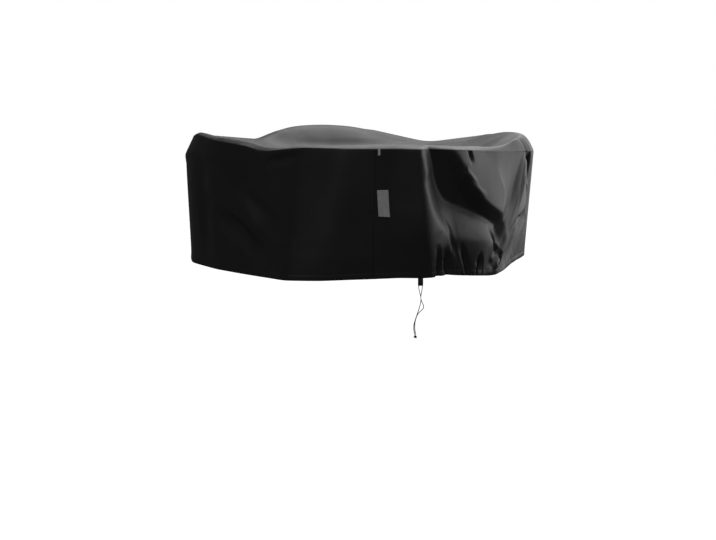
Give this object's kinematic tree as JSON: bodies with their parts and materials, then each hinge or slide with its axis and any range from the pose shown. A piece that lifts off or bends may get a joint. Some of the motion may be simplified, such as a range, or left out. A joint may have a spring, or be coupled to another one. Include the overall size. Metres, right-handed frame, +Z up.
{
  "type": "patio furniture cover",
  "caption": "Fitted cloth cover for a round patio dining set: a dished top panel with four raised places, a side wall down to a gathered hem, and a drawcord with its lock.",
  "frame": {"origin": "middle of the top panel's underside, where it lies flat on what it covers", "axes": "+Z up, -Y towards the front seam, +X to the right as seen from the front"},
  "size_m": [1.53, 1.5279, 0.786],
  "materials": {
    "coated_polyester": "coated, soft sheen",
    "label_satin": "satin",
    "light_tape": "woven tape",
    "black_plastic": "moulded",
    "black_cord": "braided"
  },
  "bodies": {
    "root": {"top_panel": "coated_polyester", "skirt_right": "coated_polyester", "skirt_left": "coated_polyester", "label": "label_satin", "seam_loop": "light_tape", "cord_lock": "black_plastic", "lock_button": "black_plastic", "drawcord_left": "black_cord", "drawcord_right": "black_cord", "cord_knot": "black_cord"}
  },
  "joints": []
}
